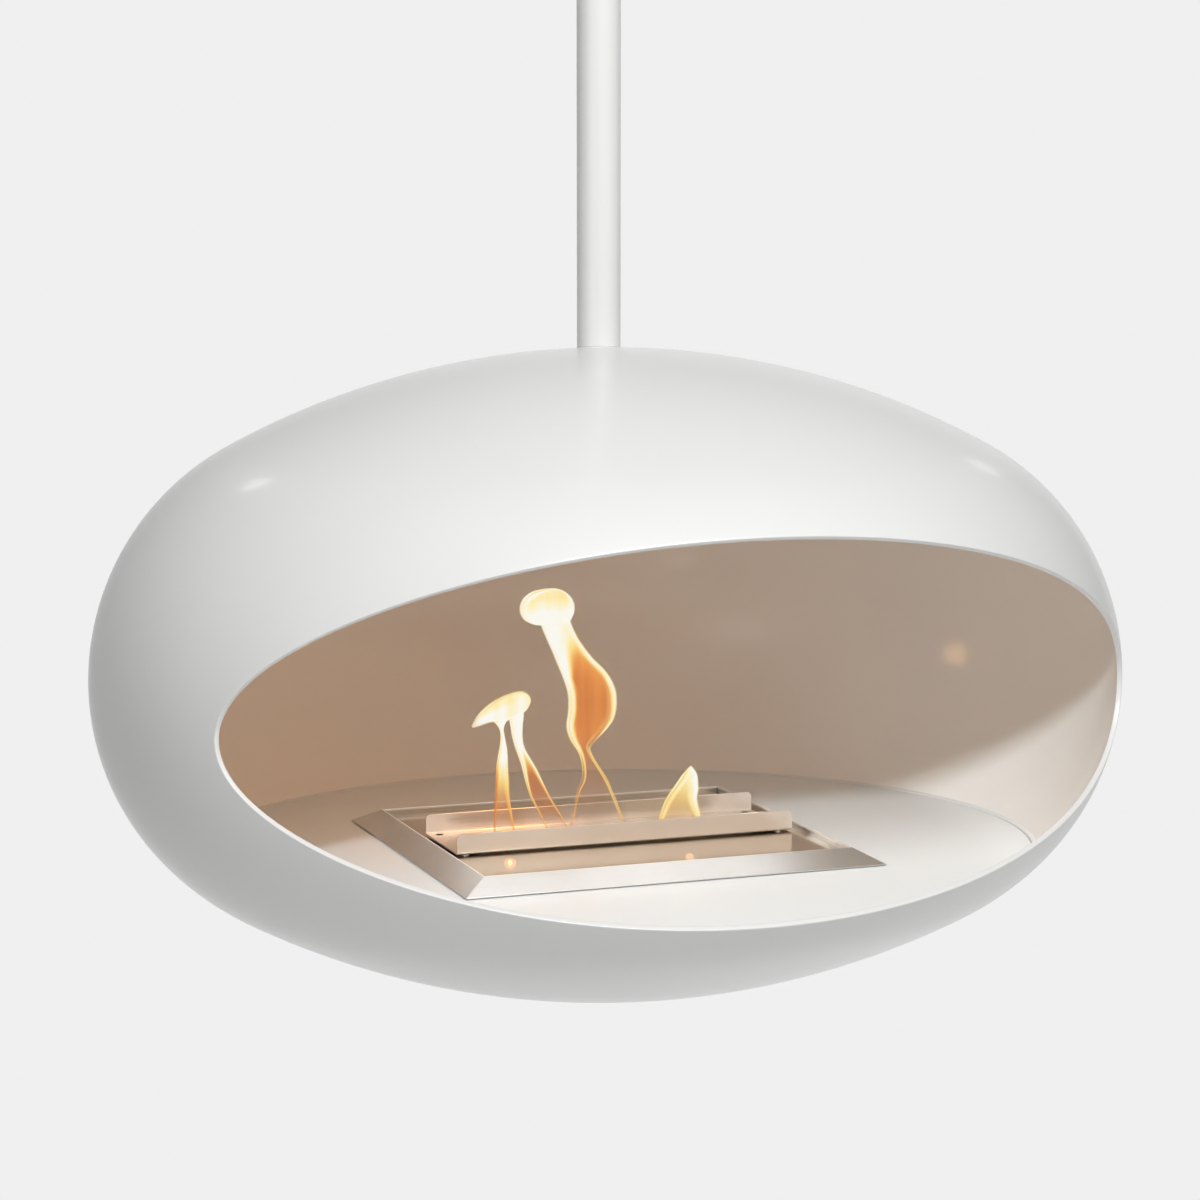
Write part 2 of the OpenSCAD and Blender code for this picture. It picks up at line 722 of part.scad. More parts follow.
module wool_block() {
    color("ivory") at_hearth() translate([0, 0, tray_floor + casing_sheet])
        slab(tray_w - 2 * casing_sheet - 2 * wool_gap, tray_d - 2 * casing_sheet - 2 * wool_gap, wool_h);
}

// Perforated sheet that keeps the wool in the tray
module wool_retainer() {
    w = tray_w - 2 * casing_sheet - 2 * wool_gap;
    d = tray_d - 2 * casing_sheet - 2 * wool_gap;
    nx = floor((w - retainer_pitch) / retainer_pitch / 2);
    ny = floor((d - retainer_pitch) / retainer_pitch / 2);
    color(steel_plain) at_hearth() translate([0, 0, wool_top]) difference() {
        slab(w, d, retainer_t);
        for (i = [-nx:nx], j = [-ny:ny]) translate([i * retainer_pitch, j * retainer_pitch, -eps])
            cylinder(d = retainer_hole_d, h = retainer_t + 2 * eps);
    }
}

// Two rebated rails under the top plate in which the damper slides
module damper_guides() {
    color(steel_plain) at_hearth()
        translate([0, damper_front + damper_d + guide_end - guide_l, plate_bottom - guide_h])
            for (i = [0, 1]) mirror([i, 0, 0]) translate([damper_l / 2 + damper_gap, 0, 0]) {
                translate([-guide_lip, 0, 0]) cube([guide_lip + guide_web, guide_l, guide_lip_t]);
                cube([guide_web, guide_l, guide_h]);
            }
}

module damper_plate() {
    color(steel_plain) at_hearth() translate([0, damper_front, damper_top - damper_t]) difference() {
        union() {
            translate([-damper_l / 2, 0, 0]) cube([damper_l, damper_d, damper_t]);
            translate([-tongue_w / 2, damper_d - eps, 0]) cube([tongue_w, tongue_l, damper_t]);
        }
        translate([0, stem_y - damper_front, -eps]) cylinder(d = stem_d, h = damper_t + 2 * eps);
    }
}

// Stem riveted to the damper's tongue, with a low round knob on top
module damper_knob() {
    color(steel_plain) at_hearth() translate([0, stem_y, damper_top - damper_t]) {
        cylinder(d = stem_d, h = plate_top + knob_h - damper_top + damper_t - knob_edge);
        translate([0, 0, plate_top - damper_top + damper_t + knob_gap]) {
            cylinder(d = knob_d, h = knob_h - knob_gap - knob_edge);
            translate([0, 0, knob_h - knob_gap - knob_edge])
                cylinder(d1 = knob_d, d2 = knob_d - 2 * knob_edge, h = knob_edge);
        }
    }
}

ceiling_plate();
bearing_hub();
bearing_bush();
thrust_washer();
canopy();
canopy_screws();
spindle();
spindle_washer();
castle_nut();
cotter_pin();
pole();
pole_foot();
pod_shell();
doubler_plate();
stud_washer();
stud_nut();
stud_locknut();
hearth_brackets();
hearth_plate();
hearth_nuts();
burner_well();
well_screws();
burner_surround();
burner_casing();
burner_top_plate();
flame_guard();
guard_spacers();
guard_screws();
fuel_tray();
wool_block();
wool_retainer();
damper_guides();
damper_plate();
damper_knob();
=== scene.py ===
"""Looks of a hanging fireplace: a white oval pod on a pole, with a steel burner and its flames.

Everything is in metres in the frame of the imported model: the ceiling plate's top face is at z = 0 and the
mouth faces -Y. Pieces that the camera sees closely are modelled here and stand for their plain nodes. The
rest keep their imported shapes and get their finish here.
"""

import json
import math

import bmesh
import bpy
from mathutils import Matrix, Vector

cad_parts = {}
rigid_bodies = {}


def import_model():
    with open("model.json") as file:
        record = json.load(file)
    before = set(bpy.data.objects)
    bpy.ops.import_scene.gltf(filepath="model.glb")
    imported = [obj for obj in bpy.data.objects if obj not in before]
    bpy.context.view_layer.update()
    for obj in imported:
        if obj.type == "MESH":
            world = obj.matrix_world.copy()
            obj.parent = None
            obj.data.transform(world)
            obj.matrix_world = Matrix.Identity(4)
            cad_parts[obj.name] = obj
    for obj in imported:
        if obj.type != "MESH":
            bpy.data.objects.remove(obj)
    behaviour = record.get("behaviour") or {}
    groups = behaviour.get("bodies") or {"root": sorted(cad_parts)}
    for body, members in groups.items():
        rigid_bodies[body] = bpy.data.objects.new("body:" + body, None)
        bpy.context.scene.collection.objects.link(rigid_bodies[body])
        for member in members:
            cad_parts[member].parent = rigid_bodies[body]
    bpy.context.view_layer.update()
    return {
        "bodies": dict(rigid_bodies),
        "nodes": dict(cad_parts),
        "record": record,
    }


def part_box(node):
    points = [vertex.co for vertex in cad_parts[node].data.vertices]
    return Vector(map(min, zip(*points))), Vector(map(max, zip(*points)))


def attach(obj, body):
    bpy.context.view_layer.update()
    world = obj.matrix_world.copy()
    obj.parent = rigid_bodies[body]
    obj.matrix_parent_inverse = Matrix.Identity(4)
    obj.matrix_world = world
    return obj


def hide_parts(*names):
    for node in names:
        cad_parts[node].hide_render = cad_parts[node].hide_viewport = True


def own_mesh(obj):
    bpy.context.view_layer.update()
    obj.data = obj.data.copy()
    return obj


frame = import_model()
nodes = frame["nodes"]

MM = 0.001

# The pod, as its shell node has it
POD_LOW, POD_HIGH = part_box("pod_shell")
HALF_WIDTH = POD_HIGH.x
HALF_DEPTH = 460 * MM
CROWN = 313 * MM
KEEL = 307 * MM
UPPER_SHOULDER = 250 * MM
LOWER_SHOULDER = 240 * MM
WALL = 5 * MM
POD_MIDDLE = Vector((0, POD_HIGH.y - HALF_DEPTH, POD_LOW.z + KEEL))

# The mouth, a straight oval cut whose axis tilts up and crosses the level of the pod's middle in front
MOUTH_HALF_WIDTH = 440 * MM
MOUTH_HALF_HEIGHT = 166.5 * MM
MOUTH_TILT = math.radians(3)
MOUTH_CROSSING = 350 * MM

# The pole, the hearth and the burner
POLE_LOW, POLE_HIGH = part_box("pole")
POLE_RADIUS = POLE_HIGH.x
HEARTH_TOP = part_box("hearth_plate")[1].z
PLATE_LOW, PLATE_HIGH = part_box("burner_top_plate")
SURROUND_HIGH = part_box("burner_surround")[1]
GUARD_LOW, GUARD_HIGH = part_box("flame_guard")
BURNER_MIDDLE = Vector((0, POD_MIDDLE.y, HEARTH_TOP))


# ------------------------------------------------------------ mesh helpers


def piece_from(bm, name, body, materials, replaces=()):
    """Makes a shown piece of a bmesh and lets it ride on its body."""
    mesh = bpy.data.meshes.new(name)
    bm.to_mesh(mesh)
    bm.free()
    mesh.shade_smooth()
    for material in materials:
        mesh.materials.append(material)
    piece = bpy.data.objects.new(name, mesh)
    bpy.context.scene.collection.objects.link(piece)
    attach(piece, body)
    if replaces:
        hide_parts(*replaces)
    return piece


def soften_edges(piece, width, angle=35):
    """Rounds the piece's sharp edges a little, as bent and cut sheet is."""
    bevel = piece.modifiers.new("soft edges", "BEVEL")
    bevel.width = width
    bevel.segments = 2
    bevel.limit_method = "ANGLE"
    bevel.angle_limit = math.radians(angle)
    bevel.harden_normals = True


def thicken(piece, thickness):
    """Gives a sheet its thickness, square to its faces and behind them."""
    wall = piece.modifiers.new("wall", "SOLIDIFY")
    wall.thickness = thickness
    wall.offset = -1
    wall.use_even_offset = True
    wall.use_quality_normals = True


def loft(rings):
    """A bmesh skinned over rings of points, and the vertices of its last ring."""
    bm = bmesh.new()
    bmesh.ops.create_circle(bm, segments=len(rings[0]), radius=1)
    ring = list(bm.verts)
    edges = list(bm.edges)
    for vert, point in zip(ring, rings[0]):
        vert.co = point
    for points in rings[1:]:
        made = bmesh.ops.extrude_edge_only(bm, edges=edges)["geom"]
        fresh = [item for item in made if isinstance(item, bmesh.types.BMVert)]
        edges = [item for item in made if isinstance(item, bmesh.types.BMEdge)]
        edges = [edge for edge in edges if all(vert in fresh for vert in edge.verts)]
        follows = {vert: next(e.other_vert(vert) for e in vert.link_edges if e.other_vert(vert) in ring)
                   for vert in fresh}
        place = dict(zip(ring, points))
        for vert in fresh:
            vert.co = place[follows[vert]]
        behind = {follows[vert]: vert for vert in fresh}
        ring = [behind[vert] for vert in ring]
    return bm, ring


def spun(outline, steps):
    """A bmesh of a closed outline of (radius, height) points turned about a vertical axis."""
    bm = bmesh.new()
    verts = [bm.verts.new((radius, 0, height)) for radius, height in outline]
    edges = [bm.edges.new((verts[i - 1], verts[i])) for i in range(len(verts))]
    bmesh.ops.spin(bm, geom=verts + edges, cent=(0, 0, 0), axis=(0, 0, 1), angle=math.tau, steps=steps,
                   use_merge=True, use_duplicate=False)
    bmesh.ops.remove_doubles(bm, verts=bm.verts, dist=1e-7)
    bmesh.ops.recalc_face_normals(bm, faces=bm.faces)
    return bm


def arc(centre, radius, start, end, steps):
    """Points along an arc, with angles in degrees."""
    for i in range(steps + 1):
        angle = math.radians(start + (end - start) * i / steps)
        yield centre[0] + radius * math.cos(angle), centre[1] + radius * math.sin(angle)


def fade(value, start, end):
    """1 up to start, 0 from end on, and smooth between them."""
    part = min(max((value - start) / (end - start), 0.0), 1.0)
    return 1 - part * part * (3 - 2 * part)


# ------------------------------------------------------------ materials


def node_group(name, inputs, outputs):
    """An empty shader node group with named sockets."""
    group = bpy.data.node_groups.new(name, "ShaderNodeTree")
    for socket, value in inputs.items():
        made = group.interface.new_socket(socket, in_out="INPUT", socket_type="NodeSocketFloat")
        made.default_value = value
    for socket, kind in outputs.items():
        group.interface.new_socket(socket, in_out="OUTPUT", socket_type=kind)
    return group, group.nodes.new("NodeGroupInput"), group.nodes.new("NodeGroupOutput")


def add(tree, kind, **settings):
    """A node with its settings, where a setting named in_N is a value or a link for input N."""
    node = tree.nodes.new(kind)
    for key, value in settings.items():
        if not key.startswith("in_"):
            setattr(node, key, value)
    for key, value in settings.items():
        if key.startswith("in_"):
            name = key[3:]
            socket = node.inputs[int(name)] if name.isdigit() else node.inputs[name.replace("_", " ")]
            if isinstance(value, bpy.types.NodeSocket):
                tree.links.new(value, socket)
            else:
                socket.default_value = value
    return node


def ranged(tree, factor, low, high):
    """A value that goes from low to high as the factor goes from 0 to 1."""
    return add(tree, "ShaderNodeMapRange", in_Value=factor, in_To_Min=low, in_To_Max=high).outputs["Result"]


def coat_texture_group():
    """Sprayed paint: a faint orange peel to bump and a slow change of tone."""
    group, given, out = node_group("sprayed coat", {"Peel scale": 420.0, "Tone scale": 3.0},
                                   {"Height": "NodeSocketFloat", "Tone": "NodeSocketFloat"})
    place = add(group, "ShaderNodeTexCoord").outputs["Object"]
    peel = add(group, "ShaderNodeTexNoise", in_Vector=place, in_Scale=given.outputs["Peel scale"],
               in_Detail=1.5)
    tone = add(group, "ShaderNodeTexNoise", in_Vector=place, in_Scale=given.outputs["Tone scale"],
               in_Detail=3.0)
    group.links.new(peel.outputs["Fac"], out.inputs["Height"])
    group.links.new(tone.outputs["Fac"], out.inputs["Tone"])
    return group


def brushed_group():
    """Brushed sheet: long fine lines along X, and a blotchy mask."""
    group, given, out = node_group("brushed sheet", {"Length": 6.0, "Fineness": 900.0},
                                   {"Grain": "NodeSocketFloat", "Blotch": "NodeSocketFloat"})
    place = add(group, "ShaderNodeTexCoord").outputs["Object"]
    stretch = add(group, "ShaderNodeCombineXYZ", in_X=given.outputs["Length"],
                  in_Y=given.outputs["Fineness"], in_Z=given.outputs["Fineness"])
    lines = add(group, "ShaderNodeVectorMath", operation="MULTIPLY", in_0=place, in_1=stretch.outputs[0])
    grain = add(group, "ShaderNodeTexNoise", in_Vector=lines.outputs[0], in_Scale=1.0, in_Detail=3.0)
    blotch = add(group, "ShaderNodeTexNoise", in_Vector=place, in_Scale=14.0, in_Detail=4.0)
    group.links.new(grain.outputs["Fac"], out.inputs["Grain"])
    group.links.new(blotch.outputs["Fac"], out.inputs["Blotch"])
    return group


COAT_TEXTURE = coat_texture_group()
BRUSHED = brushed_group()


def new_material(name):
    """A material with an empty Principled surface, and its tree."""
    material = bpy.data.materials.new(name)
    material.use_nodes = True
    tree = material.node_tree
    return material, tree, tree.nodes["Principled BSDF"]


def ramp(tree, factor, stops):
    """A colour ramp with (position, colour) stops."""
    node = add(tree, "ShaderNodeValToRGB", in_Fac=factor)
    elements = node.color_ramp.elements
    while len(elements) < len(stops):
        elements.new(1.0)
    for element, (position, colour) in zip(elements, stops):
        element.position = position
        element.color = (*colour, 1)
    return node.outputs["Color"]


# Sprayed paint: how far its roughness wanders, its orange peel, and the gloss coat's own roughness
PAINT_WANDER = 0.03
PEEL_STRENGTH, PEEL_HEIGHT = 0.04, 0.4 * MM
GLOSS_COAT_ROUGHNESS = 0.12

# Brushed steel: its roughness in the lines and on them, as shares of its own, and how deep the lines are
SMOOTH_SHARE, ROUGH_SHARE = 0.75, 1.3
LINE_DEPTH = 0.2 * MM


def painted(name, pale, deep, roughness, coat):
    """White stove paint with a slight gloss."""
    material, tree, surface = new_material(name)
    texture = add(tree, "ShaderNodeGroup", node_tree=COAT_TEXTURE)
    colour = ramp(tree, texture.outputs["Tone"], [(0.3, deep), (0.7, pale)])
    tree.links.new(colour, surface.inputs["Base Color"])
    rough = ranged(tree, texture.outputs["Tone"], roughness - PAINT_WANDER, roughness + PAINT_WANDER)
    tree.links.new(rough, surface.inputs["Roughness"])
    bump = add(tree, "ShaderNodeBump", in_Height=texture.outputs["Height"], in_Strength=PEEL_STRENGTH,
               in_Distance=PEEL_HEIGHT)
    tree.links.new(bump.outputs["Normal"], surface.inputs["Normal"])
    surface.inputs["Coat Weight"].default_value = coat
    surface.inputs["Coat Roughness"].default_value = GLOSS_COAT_ROUGHNESS
    return material


def steel(name, pale, deep, roughness, grain_strength, length=6.0):
    """Brushed metal with fine lines and a faint blotchy tone."""
    material, tree, surface = new_material(name)
    texture = add(tree, "ShaderNodeGroup", node_tree=BRUSHED)
    texture.inputs["Length"].default_value = length
    colour = ramp(tree, texture.outputs["Blotch"], [(0.35, deep), (0.65, pale)])
    tree.links.new(colour, surface.inputs["Base Color"])
    rough = ranged(tree, texture.outputs["Grain"], roughness * SMOOTH_SHARE, roughness * ROUGH_SHARE)
    tree.links.new(rough, surface.inputs["Roughness"])
    bump = add(tree, "ShaderNodeBump", in_Height=texture.outputs["Grain"], in_Strength=grain_strength,
               in_Distance=LINE_DEPTH)
    tree.links.new(bump.outputs["Normal"], surface.inputs["Normal"])
    surface.inputs["Metallic"].default_value = 1.0
    return material


def wool_material():
    """Matt white ceramic fibre."""
    material, tree, surface = new_material("ceramic wool")
    place = add(tree, "ShaderNodeTexCoord").outputs["Object"]
    fibre = add(tree, "ShaderNodeTexNoise", in_Vector=place, in_Scale=350.0, in_Detail=8.0)
    tree.links.new(ramp(tree, fibre.outputs["Fac"], [(0.3, (0.7, 0.67, 0.6)), (0.7, (0.88, 0.86, 0.82))]),
                   surface.inputs["Base Color"])
    bump = add(tree, "ShaderNodeBump", in_Height=fibre.outputs["Fac"], in_Strength=0.8, in_Distance=0.001)
    tree.links.new(bump.outputs["Normal"], surface.inputs["Normal"])
    surface.inputs["Roughness"].default_value = 0.95
    return material


# The flames' streaks: their closeness across, deep and up, and how far they change the heat
STREAKS = (90, 90, 12)
FLICKER = 0.18

# A flame's colour from its coolest to its hottest
FLAME_COLOURS = [(0.0, (0.62, 0.2, 0.06)), (0.2, (0.82, 0.32, 0.09)), (0.55, (0.98, 0.7, 0.24)),
                 (0.8, (0.98, 0.86, 0.5)), (0.97, (0.96, 0.94, 0.86))]


def flame_material():
    """Glowing gas, from orange through yellow to white with its heat, and as clear as its density says."""
    material, tree, surface = new_material("flame")
    heat = add(tree, "ShaderNodeAttribute", attribute_name="flame_heat").outputs["Fac"]
    density = add(tree, "ShaderNodeAttribute", attribute_name="flame_body").outputs["Fac"]
    place = add(tree, "ShaderNodeTexCoord").outputs["Object"]
    drawn_up = add(tree, "ShaderNodeVectorMath", operation="MULTIPLY", in_0=place, in_1=STREAKS)
    streaks = add(tree, "ShaderNodeTexNoise", in_Vector=drawn_up.outputs[0], in_Scale=1.0, in_Detail=1.0)
    flicker = ranged(tree, streaks.outputs["Fac"], -FLICKER, FLICKER)
    uneven = add(tree, "ShaderNodeMath", operation="ADD", in_0=heat, in_1=flicker)
    tree.links.new(ramp(tree, uneven.outputs[0], FLAME_COLOURS), surface.inputs["Emission Color"])
    surface.inputs["Emission Strength"].default_value = 1.0
    surface.inputs["Base Color"].default_value = (0, 0, 0, 1)
    surface.inputs["Specular IOR Level"].default_value = 0
    surface.inputs["Roughness"].default_value = 1
    tree.links.new(density, surface.inputs["Alpha"])
    return material


WHITE_COAT = painted("white stove paint", (0.86, 0.86, 0.85), (0.84, 0.84, 0.83), 0.32, 0.35)
# The chamber's paint is the white paint tinted cream: the tint paints the warm, flame-lit shade inside the
# chamber as light bounces between its walls
CHAMBER_COAT_PAINTED_WARM_SHADE = painted("chamber paint with painted warm shade", (0.865, 0.825, 0.775), (0.845, 0.805, 0.755), 0.36, 0.4)
HEARTH_COAT = painted("hearth paint", (0.79, 0.8, 0.79), (0.77, 0.78, 0.77), 0.4, 0.2)
SATIN_STEEL = steel("satin stainless steel", (0.7, 0.69, 0.67), (0.65, 0.64, 0.62), 0.3, 0.2)
GUARD_STEEL = steel("flame guard steel", (0.78, 0.72, 0.66), (0.74, 0.68, 0.62), 0.42, 0.15)
# The burner plate's steel is tinted warm: the tint is a painted glow, the flames' warm light mirrored in the
# plate
PLATE_STEEL_PAINTED_GLOW = steel("burner plate steel with painted flame glow", (0.72, 0.645, 0.555), (0.68, 0.605, 0.515), 0.13, 0.08)
# A paler copy of the satin steel for the surround's top edges: its pale colour paints the bright highlight
# line along them
EDGE_STEEL_PAINTED_HIGHLIGHT = steel("steel edge with painted highlight", (0.97, 0.93, 0.88), (0.93, 0.89, 0.84), 0.5, 0.05)
ZINC_STEEL = steel("zinc-plated steel", (0.6, 0.61, 0.62), (0.5, 0.51, 0.53), 0.38, 0.1, 90.0)
BRONZE = steel("turned bronze", (0.62, 0.43, 0.24), (0.5, 0.33, 0.17), 0.3, 0.2, 90.0)
WOOL = wool_material()
FLAME = flame_material()

PACKED_FINISHES = {
    "white_paint": WHITE_COAT,
    "stainless": SATIN_STEEL,
    "zinc_steel": ZINC_STEEL,
    "bearing_bronze": BRONZE,
    "ceramic_wool": WOOL,
}


def finish_packed_nodes():
    """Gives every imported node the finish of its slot."""
    slots = {part["node"]: part["material_slot"] for part in frame["record"]["subparts"]}
    for name, node in nodes.items():
        node.data.materials.clear()
        node.data.materials.append(PACKED_FINISHES[slots[name]])
    nodes["hearth_plate"].data.materials[0] = HEARTH_COAT
    # The doubler and brackets inside take the cream-tinted paint that paints the chamber's warm shade
    nodes["doubler_plate"].data.materials[0] = CHAMBER_COAT_PAINTED_WARM_SHADE
    nodes["hearth_brackets"].data.materials[0] = CHAMBER_COAT_PAINTED_WARM_SHADE
    # The burner plate takes the steel whose warm tint paints the flames' glow on it
    nodes["burner_top_plate"].data.materials[0] = PLATE_STEEL_PAINTED_GLOW


# ------------------------------------------------------------ the pod


def pod_reach(direction):
    """How far the pod's outer face lies from its middle along a direction."""
    out = math.hypot(direction.x, direction.y * HALF_WIDTH / HALF_DEPTH)
    length = math.hypot(out, direction.z)
    out, up = out / length, abs(direction.z) / length
    height, shoulder = (CROWN, UPPER_SHOULDER) if direction.z > 0 else (KEEL, LOWER_SHOULDER)
    side = HALF_WIDTH - shoulder
    dome = (side**2 + height**2 - shoulder**2) / (2 * (height - shoulder))
    drop = dome - height
    reach = math.sqrt((drop * up) ** 2 - drop**2 + dome**2) - drop * up
    if (reach * up + drop) * side < reach * out * drop:
        reach = side * out + math.sqrt((side * out) ** 2 - side**2 + shoulder**2)
    return reach / length


def mouth_edge(turn):
    """The point of the mouth's edge on the pod's outer face, at a turn round the mouth."""
    start = Vector((MOUTH_HALF_WIDTH * math.cos(turn), 0, -MOUTH_CROSSING * math.tan(MOUTH_TILT)))
    start += MOUTH_HALF_HEIGHT * math.sin(turn) * Vector((0, math.sin(MOUTH_TILT), math.cos(MOUTH_TILT)))
    forward = Vector((0, -math.cos(MOUTH_TILT), math.sin(MOUTH_TILT)))
    near, far = 0.0, 2 * HALF_DEPTH
    halvings = 40
    for _ in range(halvings):
        middle = (near + far) / 2
        point = start + forward * middle
        if point.length < pod_reach(point.normalized()):
            near = middle
        else:
            far = middle
    return start + forward * near


def pod_normal(way):
    """The outward normal of the pod's outer face, seen along a direction from its middle."""
    point, step = way * pod_reach(way), 0.5 * MM
    level = [(point + step * axis).length - pod_reach((point + step * axis).normalized())
             - (point - step * axis).length + pod_reach((point - step * axis).normalized())
             for axis in (Vector((1, 0, 0)), Vector((0, 1, 0)), Vector((0, 0, 1)))]
    return Vector(level).normalized()


def sheet(bm, name, material, faces_middle):
    """A piece of the pod whose faces all look away from its middle, or all towards it."""
    bmesh.ops.recalc_face_normals(bm, faces=bm.faces)
    widest = max(bm.faces, key=lambda face: face.calc_area())
    if (widest.normal.dot(widest.calc_center_median() - POD_MIDDLE) < 0) != faces_middle:
        bmesh.ops.reverse_faces(bm, faces=bm.faces)
    return piece_from(bm, name, "fireplace", [material], ["pod_shell"])


def make_pod():
    """The skin, lofted from the mouth's rounded edge over the outside to the back, and the wall inside it."""
    around, along, back = 240, 92, Vector((0, 1, 0))
    edge = [mouth_edge(math.tau * i / around).normalized() for i in range(around)]
    close_to_mouth, first, span = [0.002, 0.004, 0.008], 0.015, 0.977
    shares = close_to_mouth + [first + span * (i / along) for i in range(along + 1)]
    outer, inner = [], []
    for share in shares:
        ways = [way.slerp(back, share) for way in edge]
        normals = [pod_normal(way) for way in ways]
        outer.append([POD_MIDDLE + way * pod_reach(way) for way in ways])
        inner.append([point - WALL * normal for point, normal in zip(outer[-1], normals)])
    ease = 0.9 * MM
    cut = 0.27 * ease
    rim = []
    for depth, setback in [(WALL, ease), (WALL - cut, cut), (WALL - ease, 0), (WALL / 2, 0), (ease, 0),
                           (cut, cut), (0, ease)]:
        ring = []
        for way, beyond in zip(edge, outer[0]):
            corner = POD_MIDDLE + way * pod_reach(way)
            ring.append(corner + setback * (beyond - corner).normalized() - depth * pod_normal(way))
        rim.append(ring)
    bm, last = loft(rim + outer)
    bmesh.ops.pointmerge(bm, verts=last, merge_co=POD_MIDDLE + back * pod_reach(back))
    skin = sheet(bm, "pod_skin", WHITE_COAT, faces_middle=False)
    bm, last = loft(rim[:1] + inner)
    bmesh.ops.pointmerge(bm, verts=last, merge_co=POD_MIDDLE + back * (pod_reach(back) - WALL))
    # The wall inside takes the cream-tinted paint that paints the chamber's warm shade
    wall = sheet(bm, "chamber_wall", CHAMBER_COAT_PAINTED_WARM_SHADE, faces_middle=True)
    return skin, wall


def make_hearth_seam():
    """The painted fillet where the hearth meets the wall, smaller under the mouth's low lip."""
    level = POD_MIDDLE.z - HEARTH_TOP
    half_width = HALF_WIDTH - LOWER_SHOULDER + math.sqrt((LOWER_SHOULDER - WALL) ** 2 - level**2)
    leg, sunk = 6 * MM, 3 * MM
    curve = 2.2 * leg
    wide_from, small_from = 0.59, 0.84
    outline = [(half_width + sunk, -sunk), (half_width + sunk + leg / 2, leg)]
    at_wall, at_hearth = -32, -90
    outline += list(arc((half_width - leg / 2, curve), curve, at_wall, at_hearth, 6))
    bm = spun(outline, 192)
    for vert in bm.verts:
        if vert.co.z > -sunk / 2:
            swell = 1 + fade(-vert.co.y / HALF_WIDTH, wide_from, small_from)
            reach = vert.co.xy.length
            outward = (half_width + (reach - half_width) * swell) / reach
            vert.co = Vector((vert.co.x * outward, vert.co.y * outward, vert.co.z * swell))
    bmesh.ops.scale(bm, verts=bm.verts, vec=(1, HALF_DEPTH / HALF_WIDTH, 1))
    bmesh.ops.translate(bm, verts=bm.verts, vec=(0, POD_MIDDLE.y, HEARTH_TOP))
    return piece_from(bm, "hearth_seam", "fireplace", [HEARTH_COAT])


# ------------------------------------------------------------ the pole


PAINTED_EDGE = 0.2 * MM
POLE_STEPS = 96


def make_pole():
    """The pole, a drawn tube with its ends eased."""
    wall, ease = 3.2 * MM, 0.6 * MM
    inside = POLE_RADIUS - wall
    low, high = POLE_LOW.z, POLE_HIGH.z
    outline = [(inside, low + ease), (inside + ease, low), (POLE_RADIUS - ease, low),
               (POLE_RADIUS, low + ease), (POLE_RADIUS, high - ease), (POLE_RADIUS - ease, high),
               (inside + ease, high), (inside, high - ease)]
    pole = piece_from(spun(outline, POLE_STEPS), "pole_tube", "fireplace", [WHITE_COAT],
                      ["pole"])
    soften_edges(pole, PAINTED_EDGE)
    return pole


def make_pole_seat():
    """The short painted neck between the pole's foot and the crown."""
    foot = POLE_LOW.z
    flare, depth, width, ease, straight = 1.2 * MM, 4 * MM, 4 * MM, 0.3 * MM, 0.8 * MM
    outline = [(POLE_RADIUS - width, foot), (POLE_RADIUS - ease, foot), (POLE_RADIUS, foot - ease),
               (POLE_RADIUS, foot - straight), (POLE_RADIUS + flare, foot - depth),
               (POLE_RADIUS - width, foot - depth)]
    seat = piece_from(spun(outline, POLE_STEPS), "pole_seat", "fireplace", [WHITE_COAT])
    soften_edges(seat, PAINTED_EDGE)
    return seat


# ------------------------------------------------------------ the burner


CUT_EDGE = 0.35 * MM
FOLDED_EDGE = 0.3 * MM


def make_surround():
    """Four folded strips that meet in mitres round the burner, with their top edges in a paler steel that
    paints their bright highlight line.
    """
    fit, gap = 0.3 * MM, 0.12 * MM
    half_width = PLATE_HIGH.x + fit
    half_depth = (PLATE_HIGH.y - PLATE_LOW.y) / 2 + fit
    gauge, ledge, lip, foot, edge = 1.5 * MM, 8 * MM, 1.8 * MM, 0.9 * MM, 2 * MM
    top = SURROUND_HIGH.z - HEARTH_TOP
    bevel = SURROUND_HIGH.x - half_width
    seat = PLATE_LOW.z - HEARTH_TOP
    section = [(bevel, foot), (bevel, lip), (gauge, top), (0, top), (0, top - edge), (0, seat),
               (-ledge, seat), (-ledge, seat - gauge), (gauge, seat - gauge), (gauge, top - 2 * gauge),
               (bevel - 3 * gauge, foot)]
    bm = bmesh.new()
    for side in range(4):
        along, across = (half_width, half_depth) if side % 2 == 0 else (half_depth, half_width)
        ends = []
        for end in (-1, 1):
            ends.append([bm.verts.new((end * (along + out - gap), -(across + out), height))
                         for out, height in section])
        count = len(section)
        fresh = [bm.faces.new((ends[0][i - 1], ends[0][i], ends[1][i], ends[1][i - 1])) for i in range(count)]
        # The top edge faces take the paler steel, a painted highlight line
        for top_edge in fresh[3:5]:
            top_edge.material_index = 1
        fresh += [bm.faces.new(ends[0][::-1]), bm.faces.new(ends[1])]
        bmesh.ops.recalc_face_normals(bm, faces=fresh)
        bmesh.ops.rotate(bm, verts=ends[0] + ends[1], matrix=Matrix.Rotation(side * math.pi / 2, 3, "Z"))
    bmesh.ops.translate(bm, verts=bm.verts, vec=BURNER_MIDDLE)
    surround = piece_from(bm, "surround_frame", "fireplace", [SATIN_STEEL, EDGE_STEEL_PAINTED_HIGHLIGHT],
                          ["burner_surround"])
    soften_edges(surround, CUT_EDGE, angle=30)
    return surround


